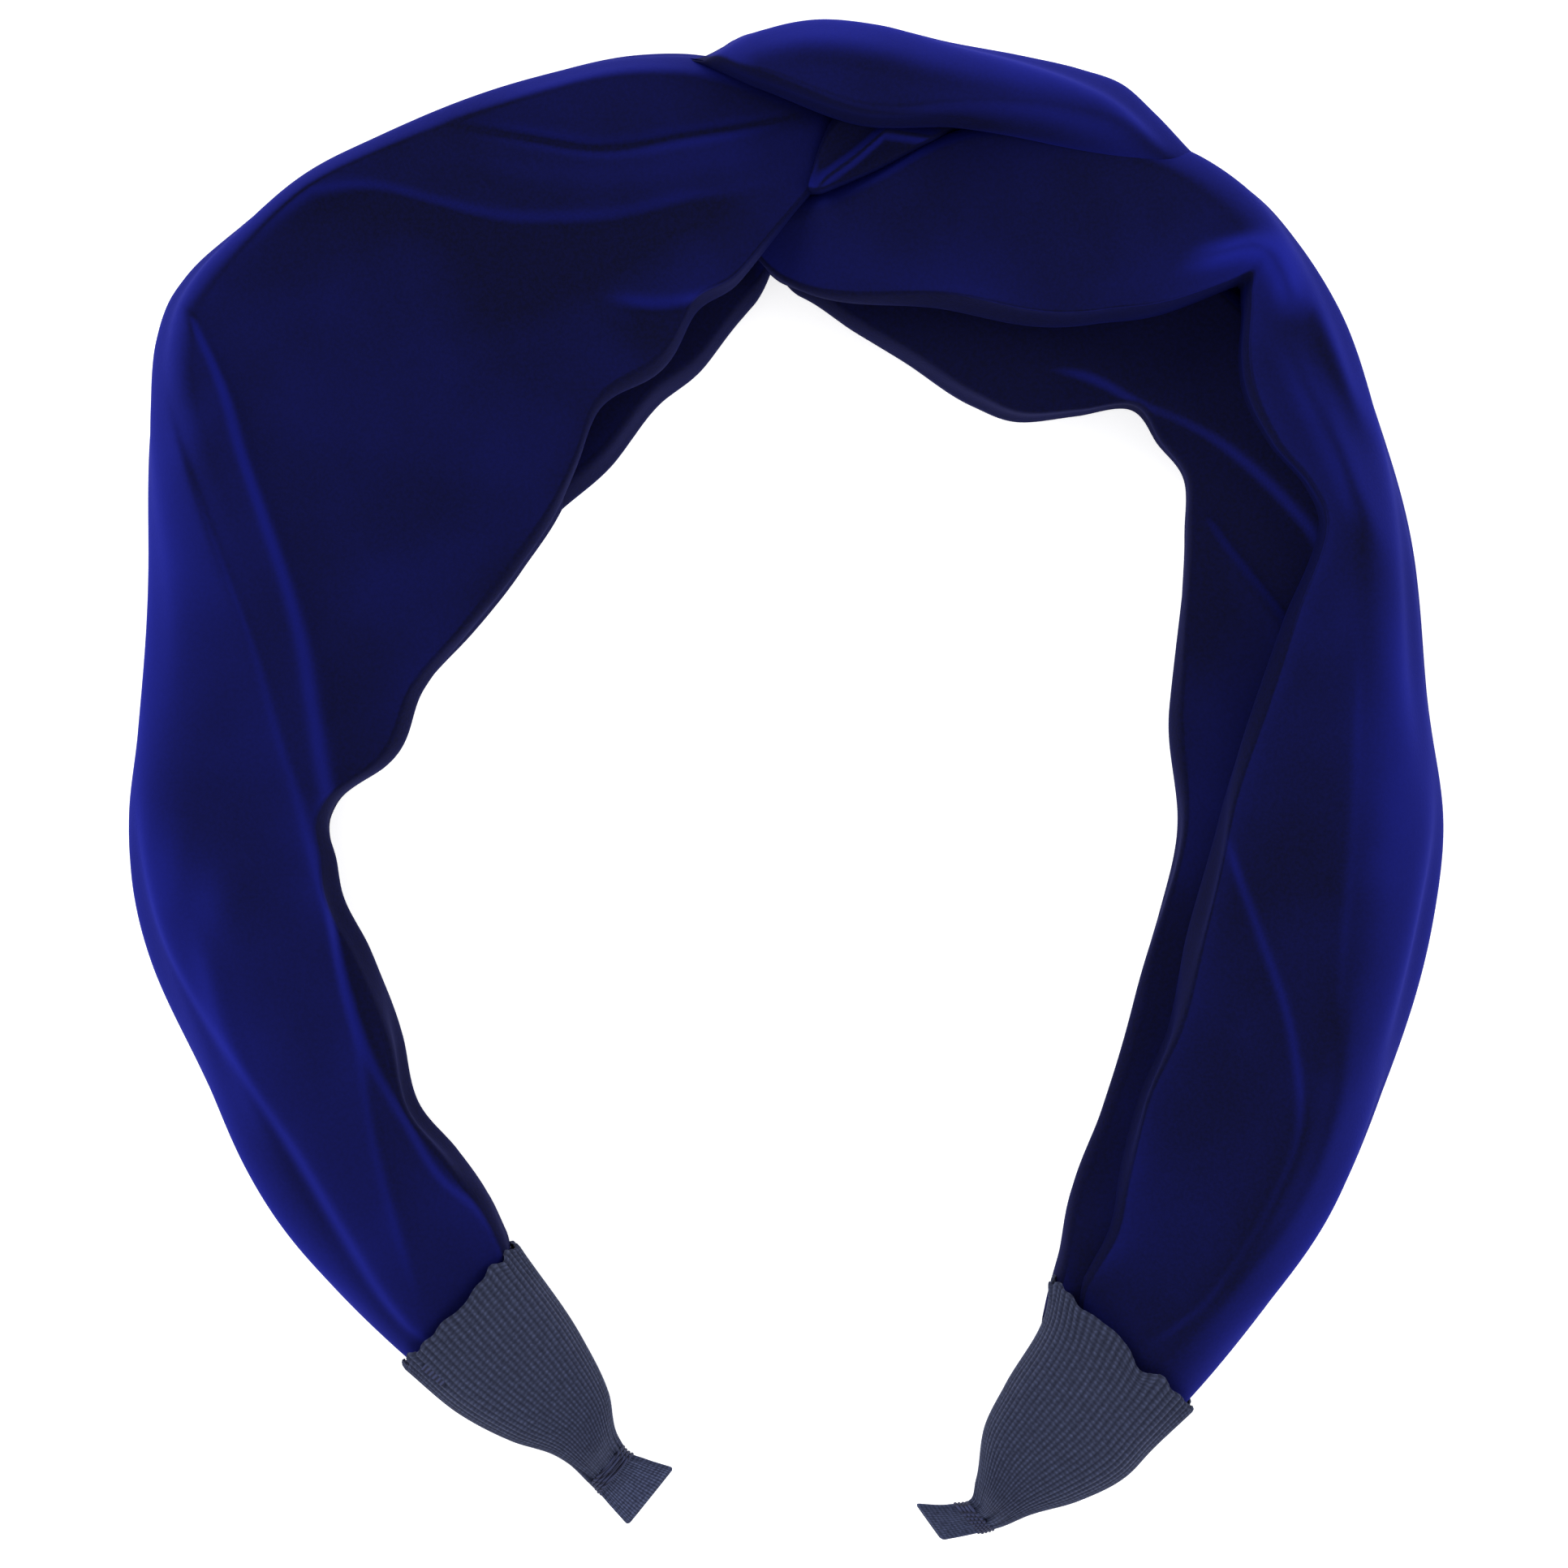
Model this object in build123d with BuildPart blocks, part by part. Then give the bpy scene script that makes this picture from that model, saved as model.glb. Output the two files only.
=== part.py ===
"""Knotted headband: a springy plastic hoop in a loose, knotted velvet cover with rib-knit ends.

The hoop lies in the XY plane, opening towards -Y, with the knot at the top. Z is the way up
when the headband lies flat. The origin is the middle of the outline, on the resting surface.
Every length is in millimetres. side is -1 for the left half (-X) and +1 for the right half.
"""

from math import cos, degrees, radians, sin
import os

from build123d import *

os.makedirs("parts", exist_ok=True)

# Hoop: a flat plastic strip on edge, bent in three tangent arcs on each side of the top
CROWN_TOP = 63.0
CROWN_RADIUS, CROWN_TURN = 66.0, 80.0
FLANK_RADIUS, FLANK_TURN = {-1: 60.0, 1: 69.5}, 41.5
TIP_RADIUS, TIP_TURN = {-1: 106.0, 1: 94.0}, 27.5
STRIP = (1.5, 7.0)
STRIP_MIDDLE = 6.5

# Woven tape glued round the strip
TAPE_THICKNESS = 0.5

# Thread: the three turns that tack the knot to the hoop, in degrees from the top of the crown arc
THREAD = 0.5
TACK_TURNS = (4.0, 8.0, 12.0)
TACK_LENGTH_TURN = 1.0

# Flex: each arm opens about one place on the hoop, beside the knot
FLEX_TURN = 50.0
FLEX_RANGE = 15.0
FLEX_SPARE = 1.5
JOINT_GAP = 0.5

# Velvet cover, as it lies on a table
CROWN_Y, CROWN_HEIGHT = 50.0, 25.0
MOUTH_Y, MOUTH_HEIGHT = -60.0, 14.0
TOP_ROUNDING, UNDERSIDE_ROUNDING = 6.0, 4.0
LAYER_GAP = 0.3

# Knot: heights of its three layers, and of the left bunch's edge where it laps over the right one
UNDER_LAYER, MIDDLE_LAYER, OVER_LAYER = 8.0, 18.0, 31.0
LAP_TOP = 24.0

# Rib-knit sock at each end, with the gathered velvet and the strip's tip inside it. Turns are in
# degrees on the tip arc, counted back from the tip of the strip.
SOCK_HEIGHT = 13.0
SOCK_CHAMFER = 2.5
NECK, NECK_TURN = (9.0, 9.0), (12.0, 6.5)
BINDING_TURN = (9.5, 8.0)
GLUE, GLUE_TURN = (4.6, 8.2), -0.6
TAIL_LOW, TAIL_HIGH = 4.0, 9.0
CINCH_SIZE = (3.8, 3.2)
CINCH_LENGTH = 1.6
CINCH_GROOVE = 2.5

# Outlines of the cover seen from above, from the knot to the sock and back
OUTSIDE = {
    -1: [(-9, 77.4), (-26.5, 75), (-43, 68.8), (-57.7, 59.3), (-66.5, 47), (-68.2, 23),
         (-69.9, -3), (-67.6, -18.5), (-57.7, -41), (-40.6, -62)],
    1: [(-9, 77.4), (2.8, 81.1), (17.5, 78.4), (35.6, 73.9), (51, 62), (63.3, 38.5),
        (70, -4), (66.7, -24.5), (58, -46), (43.4, -66.5)],
}
INSIDE = {
    -1: [(-29, -49.3), (-35, -39.3), (-41, -27), (-47.3, -11.5), (-48.2, -3), (-43, 2),
         (-33.5, 16), (-18.8, 34.2), (-8.6, 44.6), (-1.3, 53.4)],
    1: [(28.7, -53), (34, -35), (41.5, -7), (41.5, 12), (42.7, 30), (37.5, 38.8),
        (31.5, 39.4), (22, 39.6), (11, 46), (-1.3, 53.4)],
}
SOCK_OUTSIDE = {
    -1: [(-40.6, -62), (-29, -70.3), (-20.7, -74.5)],
    1: [(43.4, -66.5), (34, -75.6), (23, -79.2)],
}
SOCK_INSIDE = {
    -1: [(-18.2, -70.8), (-22, -59), (-29, -49.3)],
    1: [(20.3, -77), (23, -65), (28.7, -53)],
}
TAIL = {
    -1: [(-22.5, -71.5), (-20.6, -74.2), (-18.9, -77.2), (-16.8, -79.4), (-14.9, -77.6),
         (-11.9, -73.2), (-17.9, -71.5), (-19.5, -69)],
    1: [(25.5, -78), (23.2, -79.3), (20, -80.2), (17, -81.1), (14.5, -79.8), (13.9, -77),
        (20.4, -76.8), (22.5, -74.5)],
}
CINCH_MIDDLE = {-1: (-19.1, -72.9), 1: (21.7, -78.0)}
CINCH_DIRECTION = {-1: (3.4, -3.2), 1: (-4.0, -2.4)}
# The left bunch lies over the right one up to this edge, and under the strand along the rim
LAP = [(-1.3, 53.4), (2.8, 62.7), (8, 69.2), (-2.4, 73.5), (-6.8, 70.5)]
TUCK = [(-5, 71), (8, 68.9), (19, 68.3), (17, 73), (-3, 75.6)]
OVER_STRAND = [(-12, 90), (-12, 73), (-2.4, 73.8), (8, 69.8), (18.4, 69), (33, 66), (40, 90)]
# The right bunch comes back under the left one inside this outline
RETURN = [(-1.3, 53.4), (-7, 57), (-13.5, 74.5), (-9, 77.4)]

SIDES = {-1: "left", 1: "right"}
TAPE = (STRIP[0] + 2 * TAPE_THICKNESS, STRIP[1] + 2 * TAPE_THICKNESS)
BINDING = (NECK[0] + 2 * THREAD, NECK[1] + 2 * THREAD)
TACK = (TAPE[0] + 2 * THREAD, TAPE[1] + 2 * THREAD)
HALF_GAP_TURN = degrees(JOINT_GAP / 2 / CROWN_RADIUS)
WEDGE_TURN = (FLEX_RANGE + FLEX_SPARE) / 2
TOP_SLOPE = (CROWN_HEIGHT - MOUTH_HEIGHT) / (CROWN_Y - MOUTH_Y)
# Farther than any point of the headband is from a flex
REACH = 150.0
COVER_TOP = Plane(origin=(0, CROWN_Y, CROWN_HEIGHT), z_dir=(0, -TOP_SLOPE, 1))


def save(builder, name):
    """Label a finished piece and write it to its own STEP file."""
    builder.part.label = name
    export_step(builder.part, f"parts/{name}.step")


def on_crown(side, turn):
    """The point of the crown arc that is turn degrees from the top, and the way down from it."""
    angle = radians(turn)
    point = (side * CROWN_RADIUS * sin(angle), CROWN_TOP - CROWN_RADIUS * (1 - cos(angle)))
    return point, (side * cos(angle), -sin(angle))


def crown_line(first_turn, last_turn):
    """The crown arc between two turns, counted from the top and positive to the right."""
    start, direction = on_crown(1, first_turn)
    with BuildLine() as line:
        JernArc(start, direction, CROWN_RADIUS, first_turn - last_turn)
    return line


def arm_line(side, end_turn=0.0):
    """Three tangent arcs from the flex to end_turn degrees short of the hoop's tip."""
    flex_turn = FLEX_TURN + HALF_GAP_TURN
    start, direction = on_crown(side, flex_turn)
    with BuildLine() as line:
        crown = JernArc(start, direction, CROWN_RADIUS, -side * (CROWN_TURN - flex_turn))
        flank = JernArc(crown @ 1, crown % 1, FLANK_RADIUS[side], -side * FLANK_TURN)
        JernArc(flank @ 1, flank % 1, TIP_RADIUS[side], -side * (TIP_TURN - end_turn))
    return line


def tip_line(side, first_turn, last_turn):
    """The piece of the tip arc between two turns, counted back from the hoop's tip."""
    arm = arm_line(side, first_turn).line
    with BuildLine() as line:
        JernArc(arm @ 1, arm % 1, TIP_RADIUS[side], -side * (first_turn - last_turn))
    return line


def band(line, section):
    """A strip on edge along a line, section = (thickness, width), at the strip's middle height."""
    thickness, width = section
    with BuildPart() as strip:
        with BuildSketch(Plane.XY.offset(STRIP_MIDDLE - width / 2)):
            trace(line.line, line_width=thickness)
        extrude(amount=width)
    return strip.part


def sleeve(line, outer, inner):
    """A band along a line with a smaller band taken out of it."""
    with BuildPart() as tube:
        add(band(line, outer))
        add(band(line, inner), mode=Mode.SUBTRACT)
    return tube


def slab(points, low, high, spare=0.0):
    """A flat layer inside a polygon, from height low to high, made larger all round by spare."""
    with BuildPart() as layer:
        with BuildSketch(Plane.XY.offset(low - spare)):
            with BuildLine():
                Polyline(*points, close=True)
            make_face()
            if spare:
                offset(amount=spare)
        extrude(amount=high - low + 2 * spare)
    return layer.part


def around(line):
    """All the room a taped strip needs along a line."""
    return band(line, TAPE)


def cover(side):
    """One half of the velvet cover as a soft lying bunch: flat below, rounded, lower to the tip."""
    with BuildPart() as half:
        with BuildSketch():
            with BuildLine():
                outer = Spline(*OUTSIDE[side])
                inner = Spline(*INSIDE[side])
                Line(outer @ 1, inner @ 0)
                Line(inner @ 1, outer @ 0)
            make_face()
        extrude(amount=2 * CROWN_HEIGHT)
        split(bisect_by=COVER_TOP, keep=Keep.BOTTOM)
        top = half.faces().sort_by(Axis.Z)[-1]
        fillet(top.edges().filter_by(GeomType.LINE, reverse=True), radius=TOP_ROUNDING)
        underside = half.faces().sort_by(Axis.Z)[0]
        fillet(underside.edges().filter_by(GeomType.LINE, reverse=True), radius=UNDERSIDE_ROUNDING)
    return half.part


def flex_side(side, sense):
    """A block over all that lies beyond the flex: sense 1 is the arm's side, -1 the knot's."""
    point, direction = on_crown(side, FLEX_TURN)
    down = Vector(*direction) * sense
    outward = Vector(side * sin(radians(FLEX_TURN)), cos(radians(FLEX_TURN)))
    near = Vector(*point) + down * JOINT_GAP / 2
    slant = outward * cos(radians(WEDGE_TURN)) + down * sin(radians(WEDGE_TURN))
    corners = [
        near,
        near - outward * REACH,
        near - outward * REACH + down * REACH,
        near + outward * REACH + down * REACH,
        near + slant * REACH,
    ]
    return slab([(corner.X, corner.Y) for corner in corners], 0, 2 * CROWN_HEIGHT)


# The hoop: one bent strip, in three nodes that meet where it flexes
with BuildPart() as hoop_crown:
    add(band(crown_line(HALF_GAP_TURN - FLEX_TURN, FLEX_TURN - HALF_GAP_TURN), STRIP))
save(hoop_crown, "hoop_crown")

crown_tape_line = crown_line(HALF_GAP_TURN - FLEX_TURN, FLEX_TURN - HALF_GAP_TURN)
crown_tape = sleeve(crown_tape_line, TAPE, STRIP)
save(crown_tape, "hoop_tape_crown")

for side, side_name in SIDES.items():
    with BuildPart() as hoop_arm:
        add(band(arm_line(side), STRIP))
    save(hoop_arm, f"hoop_arm_{side_name}")
    save(sleeve(arm_line(side, NECK_TURN[1]), TAPE, STRIP), f"hoop_tape_{side_name}")

# Thread that tacks the knot to the taped hoop: three turns beside the crossing
with BuildPart() as knot_tacks:
    for turn in TACK_TURNS:
        add(sleeve(crown_line(turn, turn + TACK_LENGTH_TURN), TACK, TAPE).part)
save(knot_tacks, "knot_tack_stitches")

# The right half of the knot: over the left bunch along the rim, and back under it
with BuildPart() as velvet_knot_right:
    add(cover(1))
    add(flex_side(1, -1), mode=Mode.INTERSECT)
    with BuildSketch(Plane.XY.offset(MIDDLE_LAYER)) as over_outline:
        with BuildLine():
            outer = Spline(*OUTSIDE[1])
            Line(outer @ 1, outer @ 0)
        make_face()
        with BuildLine():
            Polyline(*OVER_STRAND, close=True)
        make_face(mode=Mode.INTERSECT)
    extrude(amount=OVER_LAYER - MIDDLE_LAYER)
    add(slab(RETURN, 0, UNDER_LAYER))
    add(slab(LAP, UNDER_LAYER + LAYER_GAP, 2 * CROWN_HEIGHT, LAYER_GAP), mode=Mode.SUBTRACT)
    add(slab(TUCK, UNDER_LAYER + LAYER_GAP, MIDDLE_LAYER - LAYER_GAP, LAYER_GAP), mode=Mode.SUBTRACT)
    add(around(crown_tape_line), mode=Mode.SUBTRACT)
    add(knot_tacks.part, mode=Mode.SUBTRACT)
save(velvet_knot_right, "velvet_knot_right")

# The left half of the knot: over the right bunch, its end tucked under the strand on the rim
with BuildPart() as velvet_knot_left:
    add(cover(-1))
    add(flex_side(-1, -1), mode=Mode.INTERSECT)
    add(slab(RETURN, 0, UNDER_LAYER, LAYER_GAP), mode=Mode.SUBTRACT)
    add(slab(LAP, UNDER_LAYER + LAYER_GAP, LAP_TOP))
    add(slab(TUCK, UNDER_LAYER + LAYER_GAP, MIDDLE_LAYER - LAYER_GAP))
    add(around(crown_tape_line), mode=Mode.SUBTRACT)
save(velvet_knot_left, "velvet_knot_left")

for side, side_name in SIDES.items():
    neck_line = tip_line(side, *NECK_TURN)

    # Thread that binds the gathered end of the velvet to the taped strip
    binding_line = tip_line(side, *BINDING_TURN)
    binding = sleeve(binding_line, BINDING, NECK)
    save(binding, f"gather_binding_{side_name}")

    # The velvet on the arm, with its gathered neck
    with BuildPart() as velvet_sleeve:
        add(cover(side))
        add(flex_side(side, 1), mode=Mode.INTERSECT)
        add(band(neck_line, NECK))
        add(around(arm_line(side)), mode=Mode.SUBTRACT)
    save(velvet_sleeve, f"velvet_sleeve_{side_name}")

    # Hot glue round the bare tip of the strip
    glue_line = tip_line(side, NECK_TURN[1], GLUE_TURN)
    glue = sleeve(glue_line, GLUE, STRIP)
    save(glue, f"glue_dab_{side_name}")

    # Cinching thread, wound round the sock where its end is pinched into a tail
    across, height = CINCH_SIZE
    along = CINCH_DIRECTION[side]
    cinch_plane = Plane(
        origin=(*CINCH_MIDDLE[side], (TAIL_LOW + TAIL_HIGH) / 2), x_dir=(-along[1], along[0], 0),
        z_dir=(*along, 0),
    )
    with BuildPart() as cinch:
        with BuildSketch(cinch_plane):
            Ellipse(across / 2 + THREAD, height / 2 + THREAD)
            Ellipse(across / 2, height / 2, mode=Mode.SUBTRACT)
        extrude(amount=CINCH_LENGTH / 2, both=True)
    save(cinch, f"cinch_thread_{side_name}")

    # The sock: rounded, pinched to a flat tail, its mouth meeting the velvet
    with BuildPart() as sock:
        with BuildSketch():
            with BuildLine():
                outer = Spline(*SOCK_OUTSIDE[side])
                inner = Spline(*SOCK_INSIDE[side])
                Line(outer @ 1, inner @ 0)
                Line(inner @ 1, outer @ 0)
            make_face()
        extrude(amount=SOCK_HEIGHT)
        chamfer(sock.faces().sort_by(Axis.Z)[-1].edges(), length=SOCK_CHAMFER)
        chamfer(sock.faces().sort_by(Axis.Z)[0].edges(), length=SOCK_CHAMFER)
        add(slab(TAIL[side], TAIL_LOW, TAIL_HIGH))
        add(band(neck_line, BINDING), mode=Mode.SUBTRACT)
        add(band(glue_line, GLUE), mode=Mode.SUBTRACT)
        # The groove the cinching thread sits in
        with BuildSketch(cinch_plane):
            Ellipse(across / 2 + CINCH_GROOVE, height / 2 + CINCH_GROOVE)
            Ellipse(across / 2, height / 2, mode=Mode.SUBTRACT)
        extrude(amount=CINCH_LENGTH / 2, both=True, mode=Mode.SUBTRACT)
    save(sock, f"rib_sock_{side_name}")
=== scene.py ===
# %% [markdown]
# # A knotted velvet headband
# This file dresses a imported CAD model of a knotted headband. The CAD holds the springy hoop, its tape,
# the threads and the glue, with plain solids where the cloth goes. Blender replaces those solids with
# velvet and rib knit. Lengths below are in millimetres, and become metres when a mesh is made.

import bpy
import numpy as np
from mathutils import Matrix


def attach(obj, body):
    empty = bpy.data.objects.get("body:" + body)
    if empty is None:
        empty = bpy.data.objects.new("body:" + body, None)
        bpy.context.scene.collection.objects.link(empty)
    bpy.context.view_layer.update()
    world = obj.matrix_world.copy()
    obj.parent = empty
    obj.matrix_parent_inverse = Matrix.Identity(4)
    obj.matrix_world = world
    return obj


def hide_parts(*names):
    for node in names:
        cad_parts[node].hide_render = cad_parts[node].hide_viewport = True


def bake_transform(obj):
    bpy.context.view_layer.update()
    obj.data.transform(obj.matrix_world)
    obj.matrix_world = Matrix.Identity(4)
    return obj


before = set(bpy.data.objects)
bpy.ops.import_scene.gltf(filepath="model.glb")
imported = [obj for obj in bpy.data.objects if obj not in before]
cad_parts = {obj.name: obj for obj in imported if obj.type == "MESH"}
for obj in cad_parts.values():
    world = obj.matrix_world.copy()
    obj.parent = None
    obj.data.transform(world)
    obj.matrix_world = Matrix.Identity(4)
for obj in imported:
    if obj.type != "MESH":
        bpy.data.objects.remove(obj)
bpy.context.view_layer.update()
MM = 0.001

# %% [markdown]
# ## Measuring round the hoop
# A headband is nearly a ring, so every outline and fold on it is easiest to say as a distance from one
# middle point at each angle. Angle 0 is the knot, and angles grow down each arm. A fold line is then one
# smooth function of the angle, and a bunch of cloth is what lies between two of them. Drawing each fold
# as a Blender curve would work too, but functions can be added, compared and shaped as whole arrays.

# %% Smooth curves and rails
MIDDLE_Y = -5.0
SIDES = {-1: "left", 1: "right"}


def smooth(x, xs, ys):
    """The curve through the points (xs, ys): on each stretch the cubic that has at both ends the slope
    of the parabola through the point and its two neighbours. Flat beyond the first and last point."""
    xs, ys = np.asarray(xs, float), np.asarray(ys, float)
    step, slope = np.diff(xs), np.diff(ys) / np.diff(xs)
    inner = (step[:-1] * slope[1:] + step[1:] * slope[:-1]) / (step[:-1] + step[1:])
    tangent = np.concatenate([slope[:1], inner, slope[-1:]])
    x = np.clip(x, xs[0], xs[-1])
    k = np.clip(np.searchsorted(xs, x, side="right") - 1, 0, len(step) - 1)
    t = (x - xs[k]) / step[k]
    rise = ys[k + 1] - ys[k]
    start, end = tangent[k] * step[k], tangent[k + 1] * step[k]
    return ys[k] + t * (start + t * (3 * rise - 2 * start - end + t * (start + end - 2 * rise)))


def rail(side, *points):
    """A line seen from above through (x, y) points, as a function from angle to distance."""
    across, along = np.array(points, float).T
    angles = np.degrees(np.arctan2(side * across, along - MIDDLE_Y))
    distances = np.hypot(across, along - MIDDLE_Y)
    order = np.argsort(angles)
    return lambda angle: smooth(angle, angles[order], distances[order])


def levels(*pairs):
    """A height or width that changes with the angle, from (angle, value) pairs."""
    angles, values = np.array(pairs, float).T
    return lambda angle: smooth(angle, angles, values)


def ease(x):
    """0 below 0, 1 above 1, and the S-curve 3x^2 - 2x^3 between."""
    x = np.clip(x, 0, 1)
    return x * x * (3 - 2 * x)


def window(angle, first, last, soft):
    """1 between two angles, easing to 0 over the last soft degrees inside each."""
    return ease((angle - first) / soft) * ease((last - angle) / soft)


# %% [markdown]
# ## A bunch of cloth
# Loose cloth pulled over a hoop lies as a soft, flattened tube: round at its two edges, pressed flat
# where it rests, and folded on top. One function makes such a tube from its two edge rails and a
# height map of its upper side, so that every strand of the knot is the same kind of thing with other
# rails. Each tube is hollow, with an inner skin a cloth's thickness inside the outer one.

# %% Tubes from rails
CLOTH = 0.8
ARM_RADIUS = 65
WALL_DEPTH, WALL_SWAY, SWAY_MARK = 4, 0.45, 0.03


def rounded(distance, radius):
    """A quarter circle: 0 at the edge, rising steeply, 1 from one radius inwards."""
    return np.sqrt(1 - (1 - np.clip(distance / radius, 0, 1)) ** 2)


def even_steps(count, width, height, outer_round, inner_round):
    """Fractions from 0 to 1 across a rounded section that are equally far apart along its surface."""
    t = (1 - np.cos(np.linspace(0, np.pi, 4000))) / 2
    z = height * rounded(width * t, outer_round) * rounded(width * (1 - t), inner_round)
    length = np.concatenate([[0], np.cumsum(np.hypot(width * np.diff(t), np.diff(z)))])
    return np.interp(np.linspace(0, length[-1], count, endpoint=False), length, t)


def at(value, angle):
    """A number, or a curve's value at the angle."""
    return value(angle) if callable(value) else value


def ripples(angle, r, seed, length, width, strength, waves=14):
    """Soft unevenness: a sum of sine waves, long down the arm and short across it, seeded."""
    dice = np.random.default_rng(seed)
    along = np.radians(angle) * ARM_RADIUS
    total = 0 * (along + r)
    for _ in range(waves):
        down, across = dice.normal(0, 2 * np.pi / length), dice.normal(0, 2 * np.pi / width)
        total = total + np.sin(down * along + across * r + dice.uniform(0, 2 * np.pi))
    return strength * total / np.sqrt(waves)


def bunch(
    side, span, outer, inner, surface, edge_height, floor, rounds, ends, size, inset=0.0, shut=1.1,
    rim=0.0
):
    """A closed tube between two rails. At each angle its upper side is the edge height plus the rest of
    the surface's height times the two quarter circles of its rounded edges, its lower side is the same
    down to the floor, and both ends close as a rounded cap. Round the inner edge shade is painted: a
    mark of minus the inner amount that fades over 1.2 roundings, and round the outer edge the same with
    rim, with painted shade near both edges on the lower side too. The walls sway in and out a little.
    Returns rows x columns x 3 in millimetres, with the map of painted light and shade marks."""
    rows, upper, lower = size
    angle = np.linspace(*span, rows)[:, None]
    out_r, in_r, under_r = (at(radius, angle) for radius in rounds)
    t_up = even_steps(upper, 36, 14, 8, 4)
    t_low = 1 - even_steps(lower, 36, 7, 4, 4)
    t = np.concatenate([t_up, t_low])[None, :]
    is_top = (np.arange(upper + lower) < upper)[None, :]
    cap = rounded(angle - span[0] + 0.02, ends[0]) * rounded(span[1] - angle + 0.02, ends[1])
    far, near = outer(angle), inner(angle)
    centre, half = (far + near) / 2, (far - near) / 2 * cap - inset * cap
    r = centre + half * (1 - 2 * t)
    from_out, from_in = 2 * half * t, 2 * half * (1 - t)
    out_mid, in_mid = (level(angle) for level in edge_height)
    middle = out_mid + (in_mid - out_mid) * ease(t)
    height, painted_light_and_nap = surface(angle, r, t)
    top = middle + np.maximum(height - inset - middle, 0.4) * (
        rounded(from_out, out_r) * rounded(from_in, in_r)
    )
    under = rounded(from_out, under_r) * rounded(from_in, under_r)
    bottom = middle - np.maximum(middle - floor(angle, r, t) - inset, 0.4) * under
    z = np.where(is_top, top, bottom)
    z = out_mid + (z - out_mid) * cap + 0 * r
    wall = np.exp(-((from_out / WALL_DEPTH) ** 2)) + np.exp(-((from_in / WALL_DEPTH) ** 2))
    sway = ripples(angle, z, 5, 60, 11, 1.0) * wall
    r = r + WALL_SWAY * sway * cap
    turn = np.radians(angle)
    points = np.stack([side * r * np.sin(turn), MIDDLE_Y + r * np.cos(turn), z], axis=-1)
    shut, rim = at(shut, angle), at(rim, angle)
    # Painted shade near the inner and outer edges, on the upper side and on the lower side.
    painted_light_and_nap = painted_light_and_nap - shut * (1 - ease(from_in / (1.2 * in_r))) - rim * (1 - ease(from_out / (1.2 * out_r)))
    below = -shut * (1 - ease(from_in / WALL_DEPTH)) - rim * (1 - ease(from_out / (1.2 * under_r)))
    return points, [np.where(is_top, painted_light_and_nap, below) + SWAY_MARK * sway]


def signed_volume(points, faces):
    """The sum over a closed skin's triangles of a . (b x c) / 6, above 0 when its faces look outwards."""
    a, b, c = (points[faces[:, corner]] for corner in range(3))
    return float((a * np.cross(b, c)).sum() / 6)


def skin(points, marks, inwards=False, loop=False):
    """Triangles over rows of closed rings. The rows end in a point each, or with loop the last row joins
    the first. The skin is turned to look outwards, or inwards for the lining of a hollow piece."""
    rows, columns, _ = points.shape
    ring = np.arange(rows * columns).reshape(rows, columns)
    after = np.roll(ring, -1, axis=1)
    this, following = (ring, np.roll(ring, -1, axis=0)) if loop else (ring[:-1], ring[1:])
    this_after, following_after = np.roll(this, -1, axis=1), np.roll(following, -1, axis=1)
    parts = [
        np.stack([this, this_after, following_after], -1),
        np.stack([this, following_after, following], -1)
    ]
    points, marks = points.reshape(-1, 3), [mark.ravel() for mark in marks]
    if not loop:
        first, last = len(points), len(points) + 1
        parts.append(np.stack([np.full(columns, first), after[0], ring[0]], -1))
        parts.append(np.stack([np.full(columns, last), ring[-1], after[-1]], -1))
        points = np.concatenate([points, points[ring[0]].mean(0)[None], points[ring[-1]].mean(0)[None]])
        marks = [np.concatenate([mark, mark[:2] * 0]) for mark in marks]
    faces = np.concatenate([part.reshape(-1, 3) for part in parts])
    if (signed_volume(points, faces) < 0) != inwards:
        faces = faces[:, ::-1]
    return points, faces, marks


def make_piece(name, shells, mark_names):
    """One mesh object in metres from several skins, smooth shaded, with its marks as attributes."""
    starts = np.cumsum([0] + [len(shell[0]) for shell in shells])
    points = np.concatenate([shell[0] for shell in shells])
    faces = np.concatenate([shell[1] + start for shell, start in zip(shells, starts)])
    mesh = bpy.data.meshes.new(name)
    mesh.from_pydata((points * MM).tolist(), [], faces.tolist())
    for number, mark_name in enumerate(mark_names):
        values = np.concatenate([shell[2][number] for shell in shells]).astype(np.float32)
        mesh.attributes.new(mark_name, "FLOAT", "POINT").data.foreach_set("value", values)
    mesh.polygons.foreach_set("use_smooth", np.ones(len(faces), bool))
    mesh.update()
    piece = bpy.data.objects.new(name, mesh)
    bpy.context.scene.collection.objects.link(piece)
    a, b, c = (points[faces[:, corner]] for corner in range(3))
    cloth = np.linalg.norm(np.cross(b - a, c - a), axis=1).sum() / 4
    print(name, "triangles:", len(faces), "cloth, cm2:", round(cloth / 100))
    return piece


# %% [markdown]
# ## Folds
# A fold in velvet is a crest with a high side and a low side. Its light and shade are painted into the
# colour: a painted highlight on the crest, painted light that fades back slowly on the high side, and
# painted shade in the hollow under it. So a fold here is a rail with a rise, a dip and three painted marks
# for the material. Sculpting them by hand would look as good, but the numbers can be read and changed.

# %% Folds, hollows and painted patches


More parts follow.
